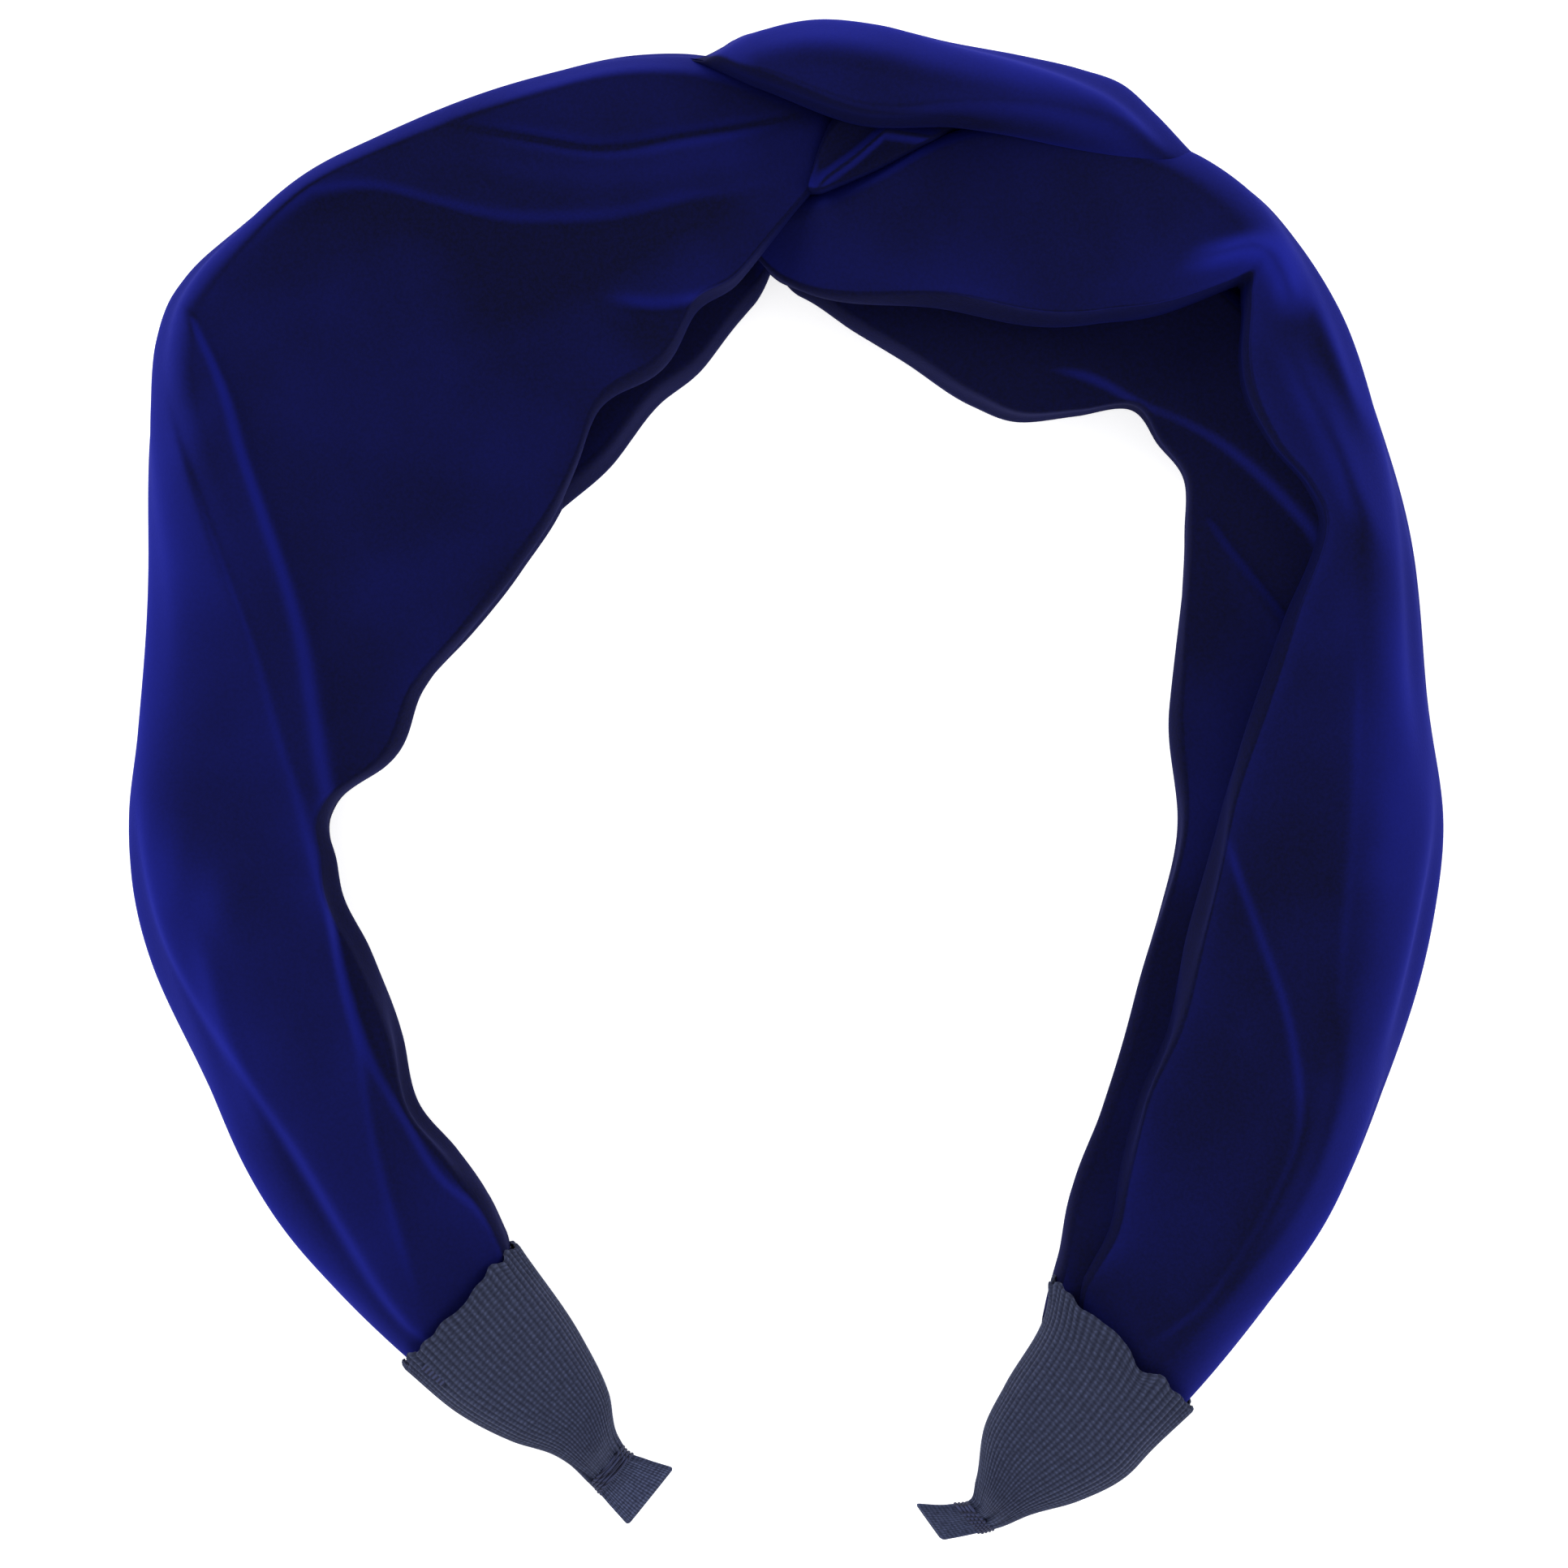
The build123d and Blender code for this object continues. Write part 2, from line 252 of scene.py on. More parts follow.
def fold(
    angle, r, line, span, high=1, rise=0.4, dip=0.6, spread=(5, 4), soft=8, edge=0.7, crest=0.0,
    glow=0.04, shade=0.04
):
    """A crest along a rail. With x the distance to its high side (1 the outer, -1 the inner side), the
    height is rise x exp(-x / spread) there and -dip x exp(-|x| / spread) on the low side, joined by the
    step 0.5 + 0.5 tanh(x / edge). The mark is painted light and shade: crest times a narrow bell on the
    line as a painted highlight, plus painted glow on the high side, less painted shade on the low side."""
    x = high * (r - line(angle))
    shown = window(angle, span[0], span[1], soft)
    up = 0.5 + 0.5 * np.tanh(x / edge)
    on_high = up * np.exp(-np.maximum(x, 0) / spread[0])
    on_low = (1 - up) * np.exp(-np.maximum(-x, 0) / spread[1])
    bell = np.exp(-(((x - 0.1) / 0.5) ** 2))
    mark = crest * bell + glow * on_high - shade * on_low
    return shown * (rise * on_high - dip * on_low), shown * mark


def ridge(angle, r, line, span, rise=1.0, width=2.5, soft=8, crest=0.08):
    """A soft symmetric fold: rise x exp(-(x / width)^2), or a hollow when rise and crest are negative.
    Its mark, crest times the same bell, is a painted highlight on a fold or painted shade in a hollow.
    """
    shown = window(angle, span[0], span[1], soft)
    bell = np.exp(-(((r - line(angle)) / width) ** 2))
    return shown * rise * bell, shown * crest * bell


def painted_patch(angle, r, place, size, mark):
    """A patch painted paler or darker, partly the pile's own stroked tone and partly painted light and
    shade: a bell round a place, size = (along the arm, across it).
    """
    at_angle = np.degrees(np.arctan2(abs(place[0]), place[1] - MIDDLE_Y))
    at_r = np.hypot(place[0], place[1] - MIDDLE_Y)
    along = np.radians(angle - at_angle) * at_r
    return mark * np.exp(-((along / size[0]) ** 2) - ((r - at_r) / size[1]) ** 2)


def draped(height, angle, r, folds=(), ridges=(), painted_patches=(), mark=0.0):
    """A plain height and a plain mark, with folds, ridges and patches of painted light and shade added."""
    marks = mark + 0 * height
    for shape, kind in [(fold, one) for one in folds] + [(ridge, one) for one in ridges]:
        rise, pale = shape(angle, r, **kind)
        height, marks = height + rise, marks + pale
    for one in painted_patches:
        marks = marks + painted_patch(angle, r, *one)
    return height, marks


# %% [markdown]
# ## The left half of the cover
# Seen from above, the left half comes out of its sock as a narrow bunch, opens into a wide smooth face on
# the shoulder, and gathers again into long folds that dive under the strand on the rim.

# %% Left half: outlines
LEFT_OUT = rail(
    -1, (10, 70), (3, 73.5), (-3, 76), (-9, 77.4), (-15.3, 77.4), (-26.6, 75), (-35.2, 72.2),
    (-43, 68.8),
    (-50.7, 64.9), (-57.7, 59.3), (-63.7, 53.6), (-65.3, 51.2), (-66.7, 47.2), (-67.6, 40.2),
    (-68, 23), (-69.3, 5.7), (-69.9, -2.9), (-69.3, -10.7), (-67.6, -18.5), (-62.8, -30.6),
    (-57.7, -40.9), (-50.7, -51.3), (-40.4, -61.6), (-36, -65),
)
LEFT_IN = rail(
    -1, (12, 66), (8, 68.8), (2.8, 62.7), (-1.5, 57.5), (-5, 53.2), (-9.7, 49.7), (-11.4, 46.3),
    (-20.1, 39), (-21.8, 34.2), (-23.5, 30.3), (-28.3, 23), (-33.5, 16.1), (-38.7, 10), (-43.1, 1.8),
    (-47.6, -1.6), (-48.4, -3.4), (-47.7, -8.1), (-47.3, -11.6), (-44.7, -17.6), (-41.2, -27.1),
    (-39.3, -34.2), (-35.2, -39.2), (-31.7, -44.4), (-29.4, -49.2), (-26, -54),
)
LEFT_HEIGHT = levels(
    (-8, 15), (0, 19), (10, 22.5), (30, 24), (48, 24), (65, 22), (85, 19.5), (105, 18), (125, 16),
    (140, 13.2), (148, 10.5)
)
LEFT_INNER = levels(
    (-8, 0.95), (5, 0.9), (15, 0.75), (35, 0.55), (60, 0.5), (80, 0.55), (92, 0.75), (105, 0.9),
    (148, 0.95)
)

# %% Left half: folds
CROWN_GROOVE = rail(
    -1, (-36, 69.5), (-26.7, 68.2), (-20.5, 67.2), (-10.7, 68.5), (-0.3, 70.5), (6, 72.5)
)
CROWN_ROLL = rail(-1, (-36, 67.5), (-25.7, 65.8), (-17.9, 65.6), (-5, 67.8), (2, 70))
CROWN_FOLD = rail(
    -1, (-50, 62.5), (-43.8, 63.2), (-37.1, 61.7), (-31.9, 60.4), (-23.1, 59.9), (-17.9, 60.3),
    (-10.1, 62.2), (-3.4, 63.2), (4, 66)
)
LOBE = rail(
    -1, (-24, 52), (-17.9, 51.2), (-12.7, 50.8), (-8.5, 51.6), (-5, 53.2), (-1.5, 57.5), (2.8, 62.7)
)
LEG_FOLD = rail(
    -1, (-62.8, 49.7), (-60.2, 43.7), (-57.6, 35.1), (-53.8, 23.8), (-51.6, 16.1), (-50.3, 8.3),
    (-48.7, -1)
)
LONG_FOLD = rail(
    -1, (-66.2, 44.6), (-61.9, 29.9), (-57.6, 17.8), (-53.3, 3.1), (-49.4, -9), (-47.7, -17.6),
    (-45.5, -26.2), (-43.8, -37.5), (-41.2, -47.8), (-39, -54.8),
)
INNER_FOLD = rail(
    -1, (-47.8, -9), (-46.4, -22.8), (-43.8, -29.7), (-40.4, -35.8), (-36.5, -41.8), (-32.6, -45.3),
    (-29.6, -50)
)
OUTER_FOLD = rail(
    -1, (-69.3, -1.2), (-68.2, -9.8), (-66.6, -15.9), (-62.6, -23.6), (-57.4, -31.4), (-52.2, -39.2),
    (-47.1, -47.8), (-40.3, -58.2),
)
SHORT_FOLD = rail(-1, (-64.5, -10.2), (-62.2, -16.5), (-59.7, -26.3), (-57, -33.2))
# Crest and glow paint highlights on the folds, shade and the negative ridge crests paint shade in the hollows and
# grooves, and the patches are partly painted light and shade.
LEFT_DRAPE = dict(
    folds=[
        dict(
            line=CROWN_FOLD, rise=0.3, dip=0.9, spread=(4, 6), span=(-2, 47), soft=14, edge=0.8,
            glow=0.012, shade=0.06
        ),
        dict(
            line=LOBE, rise=0.3, dip=1.6, spread=(5, 4), span=(3, 20), soft=5, edge=0.8, glow=0.03,
            shade=0.06
        ),
        dict(
            line=LEG_FOLD, rise=0.7, dip=1.1, spread=(6, 9), span=(44, 97), soft=9, edge=0.9, glow=0.02,
            shade=0.02
        ),
        dict(
            line=LONG_FOLD, rise=0.3, dip=0.5, spread=(12, 4), span=(50, 146), soft=12, glow=0.05,
            shade=0.01
        ),
        dict(
            line=INNER_FOLD, rise=0.5, dip=0.9, spread=(3, 5), span=(94, 149), soft=6, crest=0.02,
            glow=0.02, shade=0.04
        ),
        dict(
            line=OUTER_FOLD, high=-1, rise=0.6, dip=1.0, spread=(4, 2.2), span=(84, 149), soft=9,
            crest=0.04, glow=0.03, shade=0.1
        ),
    ],
    ridges=[
        dict(line=CROWN_GROOVE, rise=-0.7, width=0.9, span=(-4, 27), soft=9, crest=-0.07),
        dict(line=CROWN_ROLL, rise=0.5, width=2.2, span=(-4, 34), soft=12, crest=0.03),
        dict(line=CROWN_GROOVE, rise=-0.9, width=5, span=(12, 42), soft=12, crest=-0.02),
        dict(line=SHORT_FOLD, rise=0.6, width=1.3, span=(97, 124), soft=8, crest=0.06),
    ],
    painted_patches=[
        ((-61.6, -12.5), (4, 2.0), 0.08), ((-65.5, -9.5), (5, 1.6), 0.08), ((-62.5, 38), (6, 2), 0.05),
        ((-57, 60), (5, 4), 0.02), ((-40, 6), (5, 1.5), 0.03), ((-22, 56), (9, 4), -0.03),
        ((-8, 56), (5, 4), 0.02),
        ((-62, 20), (26, 7), 0.045), ((-60, -25), (14, 6), 0.03),
    ],
)


def left_surface(angle, r, t):
    """The upper side of the left half: an even slope from the hoop down to the inner edge, and folds."""
    plain = LEFT_HEIGHT(angle) * (1 - (1 - LEFT_INNER(angle)) * t) + ripples(angle, r, 3, 60, 28, 0.2)
    return draped(plain, angle, r, **LEFT_DRAPE)


def floor_level(angle, r, t):
    """The flat underside, a hair above the table, pressed into shallow creases."""
    return 0.25 + np.abs(ripples(angle, r, 11, 40, 9, 0.35))


# %% Left half: skins
def tube(side, size, inner_size, **shape):
    """An outer skin and, a cloth's thickness inside it, a plainer inner skin."""
    outside = skin(*bunch(side, size=size, **shape))
    inside = skin(*bunch(side, size=inner_size, inset=CLOTH, **shape), inwards=True)
    return [outside, inside]


# Painted shade along the inner edge, and along the outer edge on the crown.
left_main = tube(
    -1, (540, 150, 20), (100, 28, 12),
    span=(-7, 150), outer=LEFT_OUT, inner=LEFT_IN, surface=left_surface,
    edge_height=(
        levels((-7, 14), (10, 11), (40, 10), (100, 8), (148, 6.5)),
        levels((-7, 13), (8, 9), (30, 5), (80, 4), (100, 6), (148, 6.5))
    ),
    floor=floor_level,
    rounds=(
        levels((-7, 4), (20, 2.5), (44, 3), (53, 6), (62, 13), (75, 19), (100, 18), (120, 12), (148, 7)),
        1.3, 4
    ),
    ends=(5, 5), rim=levels((-7, 0.1), (10, 0.14), (42, 0.14), (56, 0.05), (66, 0)),
)
velvet_left = make_piece("velvet_left", left_main, ["painted_light_and_nap"])

LEFT_UNDER_IN = rail(
    -1, (0, 54.5), (-1.3, 53.4), (-5, 49.3), (-8.6, 44.6), (-13.6, 40.7), (-18.8, 34.2), (-24, 29.5),
    (-30, 24)
)
LEFT_UNDER_OUT = rail(-1, (0, 66), (-20, 52), (-34, 30))


def under_surface(angle, r, t):
    """A plain low layer, painted darker as the shade of the one above it."""
    plain = levels((0, 9), (15, 10), (38, 7))(angle) + ripples(angle, r, 5, 30, 20, 0.15)
    return plain, 0 * plain - 0.05


# Painted shade along the inner edge, and painted shade all over from its surface.
left_under = tube(
    -1, (160, 80, 20), (40, 14, 8),
    span=(0.5, 44), outer=LEFT_UNDER_OUT, inner=LEFT_UNDER_IN, surface=under_surface,
    edge_height=(levels((0, 5), (40, 4)), levels((0, 5), (40, 4))),
    floor=floor_level, rounds=(3, 1.5, 4), ends=(3, 8),
)
velvet_left_under = make_piece("velvet_left_under", left_under, ["painted_light_and_nap"])

# %% [markdown]
# ## The right half of the cover
# The right half is one folded strip that splits in two at the shoulder. Its upper strand runs along the
# rim, over the left bunch, and turns down behind it. Its lower strand passes under the left bunch. A back
# layer hangs inside both and goes on down the arm, where the outer layer laps over it in a long S.

# %% Right half: outlines
RIGHT_OUT = rail(
    1, (-6, 62), (2.8, 62.9), (9.7, 65.5), (17.9, 69.4), (33, 69.5), (45, 66), (51, 61.8), (54.6, 57.5),
    (58.9, 50.6),
    (63.3, 38.5), (66.7, 26.4), (68.9, 10), (70.1, -3.8), (68.9, -13.3), (66.7, -24.5), (63.3, -34.9),
    (58.1, -46.1), (51.2, -56.5), (43.2, -66), (39, -70),
)
RIGHT_IN = rail(
    1, (-4, 55), (1.5, 52.3), (15.8, 50.8), (33, 49.1), (41.7, 50.6), (46.5, 52.4), (48.4, 53.2),
    (48.5, 51), (48.2, 45.4), (51.2, 35.9),
    (55, 31.2), (56.4, 28.2), (53.3, 17.8), (49.9, 7.4), (46.9, -1.2), (45.6, -6.4), (43.4, -15.9),
    (41.2, -25.4), (37.4, -34), (35.6, -41.8), (34.8, -47), (31.7, -53), (28, -60),
)
BACK_OUT = rail(
    1, (0, 62), (20, 61), (38, 60), (52, 50), (60, 33), (59, 18), (54, 0), (50, -15), (46, -30),
    (42, -42), (36, -54)
)
BACK_IN = rail(
    1, (-3, 54.5), (-1.3, 53.4), (1.5, 52.3), (7.1, 48.5), (13.2, 45), (20.1, 40.7), (25.3, 38.8),
    (31.3, 39.4),
    (36.9, 40.1), (39.9, 36.4), (42.7, 32.5), (42.7, 27.3), (41.8, 16.1), (41.3, 8.3), (41.8, -3.8),
    (39.9, -12.4), (37.4, -23.7), (33.9, -34.9), (30.4, -45.3), (28.9, -52.5), (26, -58),
)
RIM_OUT = rail(
    1, (-9.6, 77.6), (-4.1, 79.8), (2.8, 81.1), (9.7, 80.4), (17.5, 78.4), (25.3, 76.8), (31.3, 75.4),
    (35.6, 73.9),
    (39.1, 70.9), (43.1, 66.9), (48, 63.6), (54, 57.5), (58, 51),
)
RIM_IN = rail(
    1, (-9.4, 76.6), (-2.4, 73.9), (8, 69.8), (18.4, 69.2), (33, 66.2), (46, 61.8), (52.9, 55.8),
    (56.5, 50)
)
RIGHT_HEIGHT = levels(
    (-4, 13), (3, 16.5), (15, 20), (25, 23), (42, 23.5), (50, 22.5), (65, 21), (85, 19.5), (105, 18),
    (125, 16), (140, 13.2), (149, 11)
)
BACK_HEIGHT = levels(
    (0, 9), (10, 11.5), (25, 12.8), (40, 14), (55, 15), (70, 13.5), (90, 11.5), (110, 10.5), (140, 10),
    (149, 9.5)
)

# %% Right half: folds
LEAF = rail(
    1, (46.5, -4), (47.3, -7.5), (50.3, -15.9), (53.8, -27.1), (54.5, -36.6), (51.2, -45.3),
    (44.3, -55.6)
)
OUTER_STEP = rail(
    1, (60.7, 17.8), (60.5, 5.7), (60.2, -2.9), (59, -20.2), (58.5, -33.2), (54.6, -44.4), (48.6, -52.2),
    (40.8, -60.8)
)
# Crest and glow paint highlights, the knuckle's crest of 0.24 a bright painted highlight; shade and the negative marks
# paint shade, and the patches are partly painted light and shade.
RIGHT_DRAPE = dict(
    folds=[
        dict(
            line=LEAF, rise=0.3, dip=0.5, spread=(3, 5), span=(89, 147), soft=6, crest=0.03, glow=0,
            shade=0.01
        ),
        dict(
            line=OUTER_STEP, rise=0.2, dip=0.3, spread=(10, 3), span=(66, 149), soft=14, glow=0.04,
            shade=0.01
        ),
    ],
    ridges=[
        dict(
            line=rail(1, (56, 50), (59.5, 43), (63.3, 36)), rise=0.8, width=1.2, span=(41, 64), soft=9,
            crest=0.08
        ),
        dict(
            line=rail(1, (52.9, 46), (56, 40), (60.3, 31)), rise=0.8, width=1.6, span=(42, 68), soft=9,
            crest=0.05
        ),
        dict(
            line=rail(1, (50.5, 59), (55, 50), (60, 38)), rise=-0.5, width=1.8, span=(38, 62), soft=9,
            crest=-0.03
        ),
        dict(
            line=rail(1, (35, 54), (45, 56), (50.3, 56.5), (54, 51)), rise=1.4, width=1.8, span=(34, 46),
            soft=4, crest=0.24
        ),
        dict(
            line=rail(1, (2.8, 56.5), (15, 55), (33, 54.5), (44, 56)), rise=0.5, width=4, span=(0, 40),
            soft=10, crest=0.02
        ),
    ],
    painted_patches=[
        ((64, -3), (9, 2.5), 0.09), ((65.5, 12), (6, 2), 0.05), ((62.5, -9), (3, 2), 0.04),
        ((63, 10), (24, 5), 0.04),
        ((18, 58), (12, 6), -0.025),
        ((33, -50.5), (4, 2), 0.06), ((36, 46), (8, 6), -0.03),
    ],
)
# Crest and glow paint highlights on the back layer's folds, and shade paints shade in their hollows.
BACK_FOLDS = [
    dict(line=rail(1, (27, 44.3), (30.4, 43.8), (37.3, 41.1), (46, 36.4), (55.5, 27.3)), rise=0.6, dip=0.8, spread=(3, 4),
         span=(27, 66), soft=7, crest=0.03, glow=0.03, shade=0.02),
    dict(line=rail(1, (42.3, 32.6), (46.9, 25.6), (53.5, 17)), rise=0.6, dip=0.6, spread=(3, 5), span=(51, 76), soft=4,
         high=-1, crest=0.03, glow=0.03, shade=0.04),
]
# The rim strand's fold paints glow on its high side and shade in its hollow; the patches are partly painted light on
# the strand.
RIM_DRAPE = dict(
    folds=[
        dict(line=rail(1, (22, 77.2), (27, 75.5), (35.6, 71.5), (42.7, 65.5)), high=-1, rise=0.5, dip=1.2,
             spread=(4, 2), span=(14, 42), soft=6, glow=0.03, shade=0.07),
    ],
    painted_patches=[((23, 73), (10, 2.5), 0.06), ((36, 67.5), (9, 2.3), 0.1), ((5, 79), (9, 1.8), 0.03)],
)


def right_surface(angle, r, t):
    """The lower strand and the outer layer of the arm: a full round bunch with long folds."""
    plain = RIGHT_HEIGHT(angle) * (1 - 0.12 * t) + ripples(angle, r, 7, 60, 26, 0.2)
    height, mark = draped(plain, angle, r, **RIGHT_DRAPE)
    # A painted highlight: a pale band about 2 mm wide along the inner edge, from 40 to 148 degrees.
    return height, mark + 0.04 * np.exp(
        -(((r - RIGHT_IN(angle)) / 2.0) ** 2)
    ) * window(angle, 40, 148, 6)


def back_surface(angle, r, t):
    """The back layer: low, with painted shade over it that is a little lighter down the arm."""
    plain = BACK_HEIGHT(angle) * (1 - 0.2 * t) + ripples(angle, r, 8, 50, 24, 0.15)
    height, mark = draped(plain, angle, r, folds=BACK_FOLDS)
    # Painted shade, changing down the arm.
    shade = levels((0, -0.06), (50, -0.06), (66, -0.03), (84, 0.01), (100, -0.02), (149, -0.02))(angle)
    return height, mark + shade


def rim_surface(angle, r, t):
    """The strand on the rim: a soft roll, highest over the knot."""
    plain = levels((-7, 26), (0, 30), (15, 29.5), (27, 27), (38, 24.5), (50, 19))(angle) + 0 * r
    height, mark = draped(plain - 2.2 * t, angle, r, **RIM_DRAPE)
    return height + ripples(angle, r, 9, 40, 16, 0.15), mark


def tuck_surface(angle, r, t):
    """The little folds where the left bunch dives under the rim: painted shade all over, and a
    painted highlight on the pleat's crest.
    """
    line = rail(1, (3.5, 63.8), (8, 67), (10.6, 69.2))
    pleat = dict(line=line, rise=1.2, width=0.8, span=(1, 14), soft=3, crest=0.05)
    return draped(18.5 + 0 * (r + angle), angle, r, ridges=[pleat], mark=-0.1)


# %% Right half: skins
# Painted shade along both edges.
right_main = tube(
    1, (540, 124, 20), (100, 26, 12),
    span=(-4, 151), outer=RIGHT_OUT, inner=RIGHT_IN, surface=right_surface,
    edge_height=(
        levels((-4, 12), (10, 13), (30, 15), (45, 10), (149, 6.5)),
        levels((-4, 10), (40, 12), (60, 13), (100, 10), (149, 6.5))
    ),
    floor=floor_level,
    rounds=(levels((-4, 3), (25, 2.5), (40, 5), (55, 6), (70, 8), (90, 9), (149, 8)), 1.1, 5),
    ends=(4, 5),
    rim=levels((-4, 0.1), (60, 0.1), (100, 0.1), (149, 0.06)),
)
velvet_right = make_piece("velvet_right", right_main, ["painted_light_and_nap"])

# Painted shade along the inner edge.
right_back = tube(
    1, (420, 90, 16), (80, 18, 8),
    span=(-1.2, 152.5), outer=BACK_OUT, inner=BACK_IN, surface=back_surface,
    edge_height=(levels((0, 5), (149, 6)), levels((0, 4.5), (100, 5), (149, 6))),
    floor=floor_level, rounds=(3, 1.2, 3.5), ends=(3, 5),
)
velvet_right_back = make_piece("velvet_right_back", right_back, ["painted_light_and_nap"])

# Painted shade along both edges of the rim strand, strongest at the knot.
right_rim = tube(
    1, (260, 90, 30), (60, 20, 10),
    span=(-7.1, 49), outer=RIM_OUT, inner=RIM_IN, surface=rim_surface,
    edge_height=(levels((-7, 17), (20, 16), (49, 9)), levels((-7, 21), (20, 21), (49, 15))),
    floor=floor_level, rounds=(6, levels((-7, 1.5), (10, 2), (20, 4), (45, 5)), 5), ends=(5, 16),
    shut=levels((-7, 0.75), (6, 0.6), (18, 0.3), (45, 0.15)),
    rim=levels((-7, 0.04), (20, 0.06), (45, 0.04)),
)
# The tuck: painted shade darkens its outer edge strongly.
right_tuck = tube(
    1, (90, 50, 12), (24, 12, 6),
    span=(1.6, 15), outer=rail(1, (1.8, 64), (4.5, 70), (8, 73), (19, 74)),
    inner=rail(1, (1.8, 61.8), (9.7, 64.9), (18.5, 68.9)),
    surface=tuck_surface, edge_height=(levels((0, 14), (15, 14)), levels((0, 14), (15, 14))),
    floor=lambda angle, r, t: 8 + 0 * r, rounds=(1.5, 0.8, 2), ends=(2, 3), rim=0.7,
)
velvet_right_rim = make_piece("velvet_right_rim", right_rim + right_tuck, ["painted_light_and_nap"])

# %% [markdown]
# ## Rib-knit socks
# Each end of the hoop wears a short sock of fine rib knit. Its mouth is turned in over the gathered
# velvet, and near the tip it is cinched so that the last centimetre stands out as a flat tail. The ribs
# are real ridges in the mesh, and each carries its rows of stitches.

# %% Sock shape
KNIT = 0.7
RIB_DEPTH = 0.12
RIB_POINTS = 6


def flattened(turn):
    """The superellipse of the sock's section: cos^0.75 across and sin^0.75 up, each with its sign."""
    return tuple(np.sign(wave) * np.abs(wave) ** 0.75 for wave in (np.cos(turn), np.sin(turn)))


def path(points, steps):
    """Points evenly spaced by length along the smooth curve through the given points."""
    points = np.array(points, float)
    reach = np.concatenate([[0], np.cumsum(np.hypot(*np.diff(points, axis=0).T))])
    fine = np.linspace(0, reach[-1], 400)
    curve = np.stack([smooth(fine, reach, points[:, 0]), smooth(fine, reach, points[:, 1])], axis=1)
    length = np.concatenate([[0], np.cumsum(np.hypot(*np.diff(curve, axis=0).T))])
    want = np.asarray(steps) * length[-1]
    return np.stack([np.interp(want, length, curve[:, 0]), np.interp(want, length, curve[:, 1])], axis=1)


def section(outer_edge, inner_edge, half_height, middle_height, step):
    """The sock's section at each step: its centre, the vector from there to its outer edge and that
    vector's length, half its height, and the level of its middle."""
    far, near = path(outer_edge, step), path(inner_edge, step)
    centre, half = (far + near) / 2, (far - near) / 2
    thick, level = (smooth(step, *np.array(pairs, float).T)[:, None] for pairs in (half_height, middle_height))
    return centre, half, np.hypot(*half.T)[:, None], thick, level


def cinch_thread(name, edges, heights, start, turns=4, thread=0.4, steps_a_turn=48):
    """Sewing thread wound round the sock. Its line is the sock's section gone round turns times while the
    step creeps on by a thread's width a turn, and round that line lies a circle of half the thread."""
    turn = np.linspace(0, 2 * np.pi * turns, steps_a_turn * turns)
    length = np.hypot(*np.diff(path(edges[0], np.linspace(0, 1, 50)), axis=0).T).sum()
    step = start + turn / (2 * np.pi) * thread / length
    centre, half, width, thick, level = section(*edges, *heights, step)
    across, up = flattened(turn)
    out = np.stack([*(half / width).T * across, up], axis=-1)
    out = out / np.linalg.norm(out, axis=1, keepdims=True)
    reach = np.stack([*(half / width).T * (width[:, 0] * across), thick[:, 0] * up], axis=-1)
    line = np.concatenate([centre, level], axis=1) + reach + 0.1 * out
    along = np.stack([-half[:, 1], half[:, 0], 0 * turn], axis=-1) / width
    around = np.linspace(0, 2 * np.pi, 8, endpoint=False)[None, :, None]
    size = thread / 2 * rounded(np.minimum(turn, turn[-1] - turn) / turn[1], 3)[:, None, None]
    points = line[:, None, :] + size * (
        np.cos(around) * out[:, None, :] + np.sin(around) * along[:, None, :]
    )
    return make_piece(name, [skin(points, [])], [])


